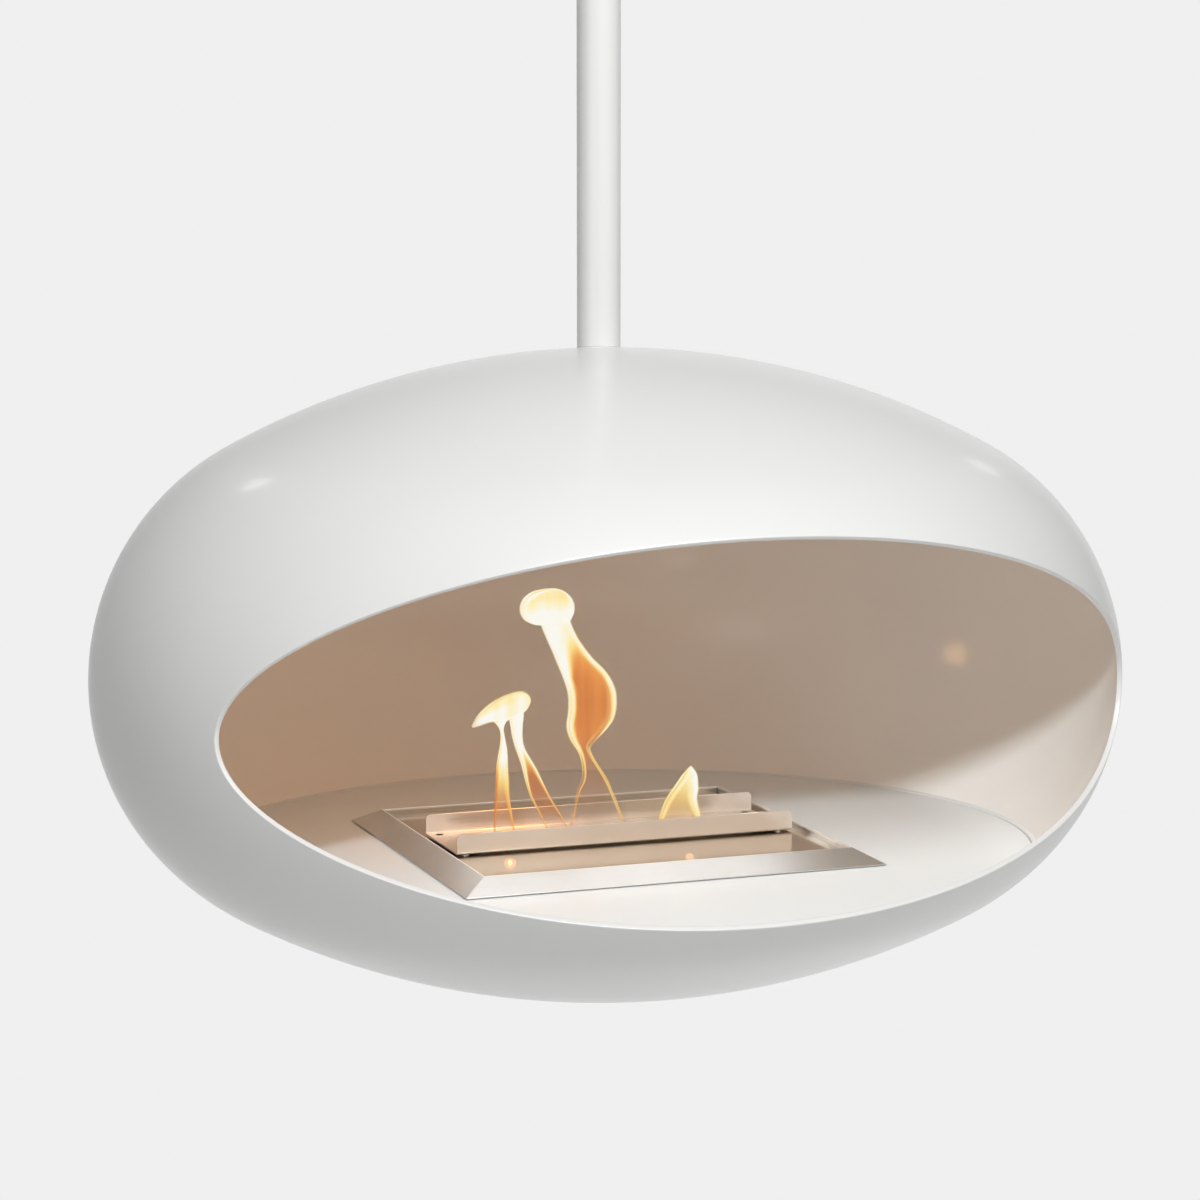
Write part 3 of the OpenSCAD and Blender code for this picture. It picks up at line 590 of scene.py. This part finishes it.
def make_flame_guard():
    """The folded channel with its slot and its two flanges with rounded corners."""
    half_length, half_width = GUARD_HIGH.x, (GUARD_HIGH.y - GUARD_LOW.y) / 2
    height, fold, corner = GUARD_HIGH.z - GUARD_LOW.z, 2.5 * MM, 5 * MM
    slot_half_length, slot_half_width = 140 * MM, 30 * MM
    gauge = 1.5 * MM
    flange = [(half_width, height - corner + corner * math.sin(math.radians(a))) for a in range(90, -1, -15)]
    flange += [(half_width, height / 2)]
    bend = [(half_width - fold + fold * math.cos(math.radians(a)), fold - fold * math.sin(math.radians(a)))
            for a in range(0, 91, 18)]
    rows = flange + bend + [(slot_half_width, 0)]
    rows = [(-y, z) for y, z in rows] + [(y, z) for y, z in rows[::-1]]
    columns = [-1, -slot_half_length / half_length, slot_half_length / half_length, 1]
    bm = bmesh.new()
    bmesh.ops.create_grid(bm, x_segments=len(columns) - 1, y_segments=len(rows) - 1, size=1)
    ordered = sorted(bm.verts, key=lambda vert: (round(vert.co.y, 5), round(vert.co.x, 5)))
    for index, vert in enumerate(ordered):
        (y, z), share = rows[index // len(columns)], columns[index % len(columns)]
        over = max(0.0, z - (height - corner))
        drawn_in = corner - math.sqrt(max(0.0, corner**2 - over**2))
        x = share * half_length
        if abs(share) == 1:
            x -= math.copysign(drawn_in, share)
        vert.co = (x, y, z)
    slot = [face for face in bm.faces
            if abs(face.calc_center_median().y) < 1e-6 and abs(face.calc_center_median().x) < 1e-6]
    bmesh.ops.delete(bm, geom=slot, context="FACES")
    bmesh.ops.recalc_face_normals(bm, faces=bm.faces)
    base = min(bm.faces, key=lambda face: face.calc_center_median().z)
    if base.normal.z > 0:
        bmesh.ops.reverse_faces(bm, faces=bm.faces)
    bmesh.ops.translate(bm, verts=bm.verts, vec=(0, POD_MIDDLE.y, GUARD_LOW.z))
    guard = piece_from(bm, "guard_channel", "fireplace", [GUARD_STEEL], ["flame_guard"])
    thicken(guard, gauge)
    soften_edges(guard, FOLDED_EDGE, angle=40)
    return guard


# ------------------------------------------------------------ the flames


def smooth_line(points, count):
    """count points spaced evenly along a smooth curve through a few points."""
    ends = [points[0]] + points + [points[-1]]
    dense, steps = [], 12
    for a, b, c, d in zip(ends, ends[1:], ends[2:], ends[3:]):
        for step in range(steps):
            t = step / steps
            dense.append(tuple(0.5 * (2 * q + (r - p) * t + (2 * p - 5 * q + 4 * r - s) * t**2
                                      + (3 * q - p - 3 * r + s) * t**3) for p, q, r, s in zip(a, b, c, d)))
    dense.append(points[-1])
    lengths = [0.0]
    for a, b in zip(dense, dense[1:]):
        lengths.append(lengths[-1] + math.dist(a, b))
    line, at = [], 0
    for i in range(count):
        want = lengths[-1] * i / (count - 1)
        while at < len(dense) - 2 and lengths[at + 1] < want:
            at += 1
        share = (want - lengths[at]) / max(lengths[at + 1] - lengths[at], 1e-9)
        line.append(tuple(p + (q - p) * share for p, q in zip(dense[at], dense[at + 1])))
    return line


def between(stops, share):
    """The values of a list of (share, *values) stops at a share."""
    for low, high in zip(stops, stops[1:]):
        if share <= high[0]:
            part = (share - low[0]) / (high[0] - low[0])
            return [a + (b - a) * part for a, b in zip(low[1:], high[1:])]
    return list(stops[-1][1:])


FLAME_ROWS, FLAME_AROUND = 110, 48

# A flame's edge is clear and cooler, and it thickens inwards over this many millimetres at most
SOFT_EDGE = 3.4
EDGE_COOLING = 0.4

# A flame is thinner at its foot, and full from this share of its height on
FOOT_DENSITY = 0.45
FOOT_SHARE = 0.25

# Where a flame is narrow, its half depth is this share of its half width
DEPTH_SHARE = 0.8


def make_flame(name, left, right, depth, fire):
    """A closed tongue of flame between two outlines, given in millimetres over the hearth.

    fire has stops of share of the way up, width and heat of the left rim, width and heat of the right rim,
    heat of the middle and density of the middle.
    """
    left, right = smooth_line(left, FLAME_ROWS), smooth_line(right, FLAME_ROWS)
    rings, looks = [], []
    for row, ((lx, lz), (rx, rz)) in enumerate(zip(left, right)):
        share = row / (FLAME_ROWS - 1)
        a, b = Vector((lx, 0, lz)) * MM, Vector((rx, 0, rz)) * MM
        middle, half = BURNER_MIDDLE + (a + b) / 2, (b - a) / 2
        thick = min(depth * MM, half.length * DEPTH_SHARE)
        left_rim, left_heat, right_rim, right_heat, heat, density = between(fire, share)
        risen = 1 - fade(share, 0.0, FOOT_SHARE)
        ring = []
        for i in range(FLAME_AROUND):
            turn = math.tau * i / FLAME_AROUND
            ring.append(middle + half * math.cos(turn) + Vector((0, thick * math.sin(turn), 0)))
            from_left, from_right = (half.length / MM * (1 + sign * math.cos(turn)) for sign in (1, -1))
            on_left = fade(from_left, left_rim / 2, left_rim)
            on_right = fade(from_right, right_rim / 2, right_rim)
            hot = heat + on_left * (left_heat - heat)
            hot += on_right * (right_heat - hot)
            thickness = density + max(on_left, on_right) * (1 - density)
            outermost = max(fade(from_left, 0.0, min(SOFT_EDGE, left_rim / 2)),
                            fade(from_right, 0.0, min(SOFT_EDGE, right_rim / 2)))
            looks.append((hot - EDGE_COOLING * outermost,
                          thickness * (1 - outermost) * (FOOT_DENSITY + (1 - FOOT_DENSITY) * risen)))
        rings.append(ring)
    bm = loft(rings)[0]
    heat_layer = bm.verts.layers.float.new("flame_heat")
    density_layer = bm.verts.layers.float.new("flame_body")
    for vert, (hot, thickness) in zip(bm.verts, looks):
        vert[heat_layer], vert[density_layer] = hot, thickness
    tip = sum(rings[-1], Vector()) / FLAME_AROUND
    bmesh.ops.pointmerge(bm, verts=list(bm.verts)[-FLAME_AROUND:], merge_co=tip)
    bmesh.ops.recalc_face_normals(bm, faces=bm.faces)
    flame = piece_from(bm, name, "fireplace", [FLAME])
    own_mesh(flame)


# Each flame's left and right outline, or the left cap's upper and lower one, and its fire
TALL_LEFT = [(-45, 8), (-39, 28), (-34, 52), (-29, 63), (-28, 75), (-32, 90), (-41, 104), (-45, 118),
             (-43, 136), (-45, 155), (-58, 188), (-71, 219), (-70, 232)]
TALL_RIGHT = [(24, 8), (15, 24), (4, 50), (-3, 65), (-15, 84), (-20, 96), (-15, 103), (-5, 111), (5, 123),
              (8, 139), (6, 154), (-3, 170), (-18, 185), (-32, 204), (-40, 221), (-42, 232)]
TALL_FIRE = [(0.0, 1.0, 0.2, 2.8, 0.45, 0.1, 0.03), (0.12, 1.8, 0.4, 3.2, 0.6, 0.1, 0.05),
             (0.3, 3.0, 0.6, 3.0, 0.6, 0.05, 0.12), (0.4, 6, 0.8, 4, 0.7, 0.1, 0.6),
             (0.47, 8, 0.9, 8, 0.85, 0.12, 0.85), (0.6, 8, 0.95, 11, 0.85, 0.08, 0.85),
             (0.7, 10, 0.98, 11, 0.85, 0.15, 0.95), (0.8, 18, 1.0, 12, 0.85, 0.3, 1.0),
             (0.9, 27, 1.0, 10, 0.9, 0.8, 1.0), (1.0, 30, 1.0, 6, 1.0, 1.0, 1.0)]
HEAD_LEFT = [(-62, 217), (-70, 219), (-79, 219), (-88, 224), (-92, 233), (-90, 242), (-82, 249), (-71, 252),
             (-59, 253)]
HEAD_RIGHT = [(-52, 217), (-43, 219), (-39, 224), (-36, 231), (-37, 240), (-42, 247), (-50, 252), (-59, 253)]
HEAD_FIRE = [(0.0, 5, 1.0, 5, 1.0, 1.0, 1.0), (0.4, 5, 0.95, 5, 0.95, 1.0, 1.0),
             (0.65, 9, 1.0, 7, 1.0, 0.7, 1.0), (0.85, 8, 0.95, 6, 0.95, 0.75, 1.0),
             (1.0, 5, 0.9, 5, 0.9, 0.9, 1.0)]
CAP_UPPER = [(-141, 124), (-135, 134), (-124, 144), (-109, 152), (-92, 156), (-84, 153), (-81, 146)]
CAP_LOWER = [(-141, 123), (-137, 122), (-123, 126), (-110, 125), (-101, 128), (-88, 134), (-81, 144)]
CAP_FIRE = [(0.0, 2, 0.8, 2, 0.9, 1.0, 1.0), (0.3, 7, 0.8, 5, 1.0, 1.0, 1.0),
            (0.6, 12, 0.78, 5, 1.0, 0.9, 1.0), (1.0, 6, 0.85, 5, 0.85, 0.8, 1.0)]
STEM_LEFT = [(-120, 8), (-119, 33), (-118, 52), (-117, 72), (-116, 85), (-113, 101), (-112, 112),
             (-114, 121), (-120, 128)]
STEM_RIGHT = [(-96, 8), (-99, 31), (-102, 51), (-103, 71), (-104, 84), (-105, 100), (-107, 111),
              (-108, 121), (-104, 130)]
STEM_FIRE = [(0.0, 1.6, 0.1, 1.6, 0.2, 0.1, 0.03), (0.2, 2.5, 0.1, 3, 0.35, 0.1, 0.12),
             (0.38, 3, 0.15, 5, 0.45, 0.3, 0.4), (0.55, 3, 0.3, 5, 0.7, 0.7, 0.75),
             (0.68, 3, 0.8, 3, 0.9, 1.0, 1.0), (1.0, 2, 1.0, 2, 1.0, 1.0, 1.0)]
SECOND_LEFT = [(-62, 8), (-70, 29), (-83, 54), (-92, 85), (-99, 105), (-102, 122), (-103, 131), (-100, 138)]
SECOND_RIGHT = [(-39, 8), (-48, 28), (-61, 50), (-75, 79), (-86, 98), (-89, 110), (-89, 121), (-88, 130),
                (-88, 138)]
SECOND_FIRE = [(0.0, 1.6, 0.25, 1.6, 0.25, 0.05, 0.02), (0.15, 1.6, 0.4, 1.8, 0.4, 0.0, 0.05),
               (0.35, 2.6, 0.55, 2.6, 0.55, 0.0, 0.3), (0.5, 4, 0.85, 4.5, 0.85, 0.0, 0.45),
               (0.64, 6, 0.95, 6, 0.95, 0.4, 0.8), (0.74, 6, 1.0, 6, 1.0, 1.0, 1.0),
               (1.0, 3, 1.0, 3, 1.0, 1.0, 1.0)]
SMALL_LEFT = [(45, 8), (51, 21), (58, 38), (69, 53), (79, 65), (86, 72)]
SMALL_RIGHT = [(101, 8), (98, 18), (93, 37), (94, 49), (92, 64), (86, 72)]
SMALL_FIRE = [(0.0, 5, 0.45, 6, 0.55, 0.3, 0.08), (0.25, 7, 0.65, 9, 0.8, 0.4, 0.22),
              (0.5, 8, 0.75, 11, 0.95, 0.5, 0.5), (0.75, 7, 0.85, 12, 1.05, 0.75, 0.9),
              (1.0, 3, 0.9, 4, 0.95, 0.9, 1.0)]


def make_flames():
    """The six tongues of flame over the slot, the left pair under one cap."""
    for tongue in (("flame_tall", TALL_LEFT, TALL_RIGHT, 9, TALL_FIRE),
                   ("flame_head", HEAD_LEFT, HEAD_RIGHT, 12, HEAD_FIRE),
                   ("flame_left_cap", CAP_UPPER, CAP_LOWER, 7, CAP_FIRE),
                   ("flame_left", STEM_LEFT, STEM_RIGHT, 4, STEM_FIRE),
                   ("flame_second", SECOND_LEFT, SECOND_RIGHT, 5, SECOND_FIRE),
                   ("flame_small", SMALL_LEFT, SMALL_RIGHT, 7, SMALL_FIRE)):
        make_flame(*tongue)


# ------------------------------------------------------------ stage, light, camera


BACKGROUND_TONE = 0.87
SKY_TONE = 0.06

# The backdrop: a floor below the pod, a bend and a wall behind it
FLOOR_LEVEL, FLOOR_FRONT = -2.5, -7
WALL_AT, WALL_TOP, BEND = 2.6, 5.0, 1.0
HALF_BREADTH = 9

# The pool of light on the backdrop that only the object sees: its middle, its rim, its tone and the floor's
POOL_MIDDLE = (1.5, 1.9, -2.1)
POOL_FROM, POOL_TO = 1.6, 2.6
POOL_TONE, FLOOR_TONE = 0.5, 0.17

# How much of the light that falls on the backdrop it sends back to the object
BACKDROP_GREY = 0.6


def make_stage():
    """A pale floor that curves up into a pale wall, which is clear when seen from behind."""
    line = [(FLOOR_FRONT, FLOOR_LEVEL), (WALL_AT - BEND, FLOOR_LEVEL)]
    line += [(WALL_AT - BEND + BEND * math.sin(math.radians(a)),
              FLOOR_LEVEL + BEND - BEND * math.cos(math.radians(a))) for a in range(6, 91, 6)]
    line += [(WALL_AT, WALL_TOP)]
    bm = bmesh.new()
    verts = [bm.verts.new((-HALF_BREADTH, y, z)) for y, z in line]
    edges = [bm.edges.new(pair) for pair in zip(verts, verts[1:])]
    made = bmesh.ops.extrude_edge_only(bm, edges=edges)["geom"]
    bmesh.ops.translate(bm, verts=[item for item in made if isinstance(item, bmesh.types.BMVert)],
                        vec=(2 * HALF_BREADTH, 0, 0))
    bmesh.ops.recalc_face_normals(bm, faces=bm.faces)
    if min(bm.faces, key=lambda face: face.calc_center_median().z).normal.z < 0:
        bmesh.ops.reverse_faces(bm, faces=bm.faces)
    mesh = bpy.data.meshes.new("backdrop")
    bm.to_mesh(mesh)
    bm.free()
    mesh.shade_smooth()
    mesh.materials.append(backdrop_material())
    backdrop = bpy.data.objects.new("backdrop", mesh)
    bpy.context.scene.collection.objects.link(backdrop)


def backdrop_material():
    """An even pale tone to the camera, and to the object a grey one with a pool of light on it."""
    material, tree, surface = new_material("backdrop")
    surface.inputs["Roughness"].default_value = 1
    surface.inputs["Specular IOR Level"].default_value = 0
    surface.inputs["Emission Strength"].default_value = 1
    place = add(tree, "ShaderNodeTexCoord").outputs["Object"]
    away = add(tree, "ShaderNodeVectorMath", operation="DISTANCE", in_0=place, in_1=POOL_MIDDLE)
    lit = add(tree, "ShaderNodeMapRange", interpolation_type="SMOOTHSTEP", in_Value=away.outputs["Value"],
              in_From_Min=POOL_FROM, in_From_Max=POOL_TO, in_To_Min=POOL_TONE, in_To_Max=FLOOR_TONE)
    seen = add(tree, "ShaderNodeLightPath").outputs["Is Camera Ray"]
    tree.links.new(ranged(tree, seen, lit.outputs[0], BACKGROUND_TONE), surface.inputs["Emission Color"])
    tree.links.new(ranged(tree, seen, BACKDROP_GREY, 0.0), surface.inputs["Base Color"])
    behind = add(tree, "ShaderNodeNewGeometry").outputs["Backfacing"]
    clear = add(tree, "ShaderNodeMath", operation="SUBTRACT", in_0=1.0, in_1=behind)
    tree.links.new(clear.outputs[0], surface.inputs["Alpha"])
    return material


def by_burner(place):
    """A point given in millimetres from the middle of the burner, at the hearth's level."""
    return BURNER_MIDDLE + Vector(place) * MM


def place_light(name, lamp, place, power, colour):
    """A light in the scene, with its power in watts."""
    lamp.energy = power
    lamp.color = colour
    light = bpy.data.objects.new(name, lamp)
    light.location = place
    bpy.context.scene.collection.objects.link(light)
    return light


def area_light(name, place, target, size, power, colour):
    """A round soft box that faces a target."""
    lamp = bpy.data.lights.new(name, "AREA")
    lamp.shape = "DISK"
    lamp.size = size
    light = place_light(name, lamp, place, power, colour)
    light.rotation_euler = (place - target).to_track_quat("Z", "Y").to_euler()
    return light


def near_card(name, place, target, size, power, colour):
    """A round card with its place and target from the burner's middle and its size in millimetres."""
    return area_light(name, by_burner(place), by_burner(target), size * MM, power, colour)


def flame_lamp(name, place, radius, power, colour):
    """A round lamp with its place from the burner's middle and its radius in millimetres."""
    lamp = bpy.data.lights.new(name, "POINT")
    lamp.shadow_soft_size = radius * MM
    return place_light(name, lamp, by_burner(place), power, colour)


def toward(azimuth, elevation):
    """The unit vector to a light, with azimuth 0 in front of the mouth and angles in degrees."""
    azimuth, elevation = math.radians(azimuth), math.radians(elevation)
    level = math.cos(elevation)
    return Vector((math.sin(azimuth) * level, -math.cos(azimuth) * level, math.sin(elevation)))


WHITE = (1, 1, 1)
SKY_WHITE = (0.83, 0.93, 1)
COOL_WHITE = (0.92, 0.97, 1)
WARM_WHITE = (1, 0.74, 0.55)
EMBER = (1, 0.42, 0.1)
AMBER = (1, 0.5, 0.2)
PEACH = (1, 0.55, 0.25)

# Name, what it faces, azimuth, elevation and distance from there, size, power, colour, what it lights
STUDIO_LIGHTS = [
    ("soft_box", POD_MIDDLE, -2, 42, 4, 2.4, 143, WHITE, "everything"),
    ("left_wall", POD_MIDDLE, -58, 5, 4, 2.4, 14, WHITE, "outer"),
    ("mouth_light", POD_MIDDLE, -32, 27, 5, 0.3, 184, SKY_WHITE, "inner and steel"),
    ("right_card", POD_MIDDLE, -45, 5, 2.5, 1, 6, WHITE, "inner"),
    ("back_fill", POD_MIDDLE, 160, 5, 2.4, 2, 22, WHITE, "outer"),
    ("front_card", BURNER_MIDDLE, 20, 5, 1.6, 1.6, 5.5, WARM_WHITE, "steel"),
]

# Name, place and target from the burner's middle in mm, size in mm, power, colour, what it lights
NEAR_CARDS = [
    ("roof_card", (-80, -50, 320), (-90, -190, 0), 680, 1.12, COOL_WHITE, "surround"),
    ("left_lamp", (-988, 2316, 2029), (0, 0, 0), 250, 0.5, WHITE, "skin"),
    ("right_lamp", (2249, 1746, 1427), (0, 0, 0), 250, 0.18, WHITE, "skin"),
]

# Name, place from the burner's middle in mm, radius in mm, power, colour, what it lights
FLAME_LAMPS = [
    ("chamber_warmth", (-60, 0, 150), 50, 0.35, (1, 0.44, 0.1), "outer and inner"),
    ("guard_warmth", (-60, 0, 150), 50, 0.26, (1, 0.5, 0.15), "guard"),
    ("guard_shine", (140, -25, 50), 12, 0.026, (1, 0.85, 0.7), "guard"),
    ("left_glint", (-126, -70, 14), 2.2, 0.00025, (1, 0.8, 0.25), "plate"),
    ("left_halo", (-126, -70, 14), 6, 0.0006, EMBER, "plate"),
    ("middle_halo", (42, -105, 14), 4, 0.0003, PEACH, "plate"),
    ("back_glint", (-19, 395, 130), 8, 0.003, AMBER, "wall"),
]

# As NEAR_CARDS, but these stand for light from the flames
FLAME_CARDS = [
    ("wall_glint", (419, 176, 143), (459, 165, 140), 18, 0.0005, AMBER, "wall"),
    ("chamber_glow", (-70, -5, 120), (-200, 350, 20), 120, 0.18, EMBER, "outer and inner"),
    ("guard_glow", (-70, -5, 120), (-200, 350, 20), 120, 0.18, EMBER, "guard"),
]

WALL_GLINT_SPREAD = math.radians(70)

# Lights that show in no gloss, and lights that show in gloss alone
NO_GLOSS = {"back_fill", "chamber_warmth", "chamber_glow"}
GLOSS_ALONE = {"left_lamp", "right_lamp", "left_glint", "left_halo", "middle_halo", "back_glint",
               "wall_glint"}


def light_only(light, pieces):
    """Keeps a light to some pieces, as flags and cards round a lamp do."""
    light.visible_camera = False
    light.visible_glossy = light.name not in NO_GLOSS
    light.visible_diffuse = light.name not in GLOSS_ALONE
    lit = bpy.data.collections.new(light.name)
    for piece in pieces:
        lit.objects.link(piece)
    light.light_linking.receiver_collection = lit


def make_lights(groups):
    """Soft boxes and cards round the pod, and lamps and cards that ride on it for the flames' light."""
    studio = []
    for name, target, azimuth, elevation, distance, size, power, colour, lit in STUDIO_LIGHTS:
        place = target + distance * toward(azimuth, elevation)
        studio.append((area_light(name, place, target, size, power, colour), lit))
    near = [(near_card(*given), lit) for *given, lit in NEAR_CARDS]
    flames = [(flame_lamp(*given), lit) for *given, lit in FLAME_LAMPS]
    flames += [(near_card(*given), lit) for *given, lit in FLAME_CARDS]
    bpy.data.lights["wall_glint"].spread = WALL_GLINT_SPREAD
    for light, lit in studio + near + flames:
        if lit != "everything":
            light_only(light, [piece for group in lit.split(" and ") for piece in groups[group]])
    for light, _ in flames:
        light.parent = frame["bodies"]["fireplace"]


def make_world():
    """A dim even sky for the light, and the backdrop's own tone where the camera sees past it."""
    world = bpy.data.worlds.new("studio")
    bpy.context.scene.world = world
    world.use_nodes = True
    tree = world.node_tree
    seen = add(tree, "ShaderNodeLightPath").outputs["Is Camera Ray"]
    sky = tree.nodes["Background"].inputs
    sky["Color"].default_value = (1, 1, 1, 1)
    tree.links.new(ranged(tree, seen, SKY_TONE, BACKGROUND_TONE), sky["Strength"])


CAMERA_YAW, CAMERA_PITCH = math.radians(20.34), math.radians(7.16)
CAMERA_LENS, CAMERA_SENSOR = 88.2, 36
CAMERA_PLACE = Vector((-0.990, -2.674, POD_MIDDLE.z + 0.424))


def make_camera():
    """The photograph's view: level with the crown, left of the mouth and a little above it."""
    lens = bpy.data.cameras.new("camera")
    lens.sensor_width = CAMERA_SENSOR
    lens.lens = CAMERA_LENS
    camera = bpy.data.objects.new("camera", lens)
    camera.location = CAMERA_PLACE
    camera.rotation_euler = (math.pi / 2 - CAMERA_PITCH, 0, -CAMERA_YAW)
    bpy.context.scene.collection.objects.link(camera)
    bpy.context.scene.camera = camera


finish_packed_nodes()
skin, chamber_wall = make_pod()
seam = make_hearth_seam()
pole = make_pole()
pole_seat = make_pole_seat()
surround = make_surround()
guard = make_flame_guard()
make_flames()
make_stage()
make_lights({
    "skin": [skin], "wall": [chamber_wall], "surround": [surround], "guard": [guard],
    "plate": [nodes["burner_top_plate"]],
    "outer": [skin, pole, pole_seat, nodes["canopy"], nodes["canopy_screws"]],
    "inner": [chamber_wall, seam, nodes["hearth_plate"], nodes["doubler_plate"], nodes["stud_washer"],
              nodes["stud_nut"], nodes["stud_locknut"]],
    "steel": [surround, guard, nodes["burner_top_plate"], nodes["guard_screws"], nodes["guard_spacers"],
              nodes["damper_plate"], nodes["damper_knob"]],
})
make_world()
make_camera()
bpy.context.scene.view_settings.view_transform = "Standard"

bpy.context.view_layer.update()
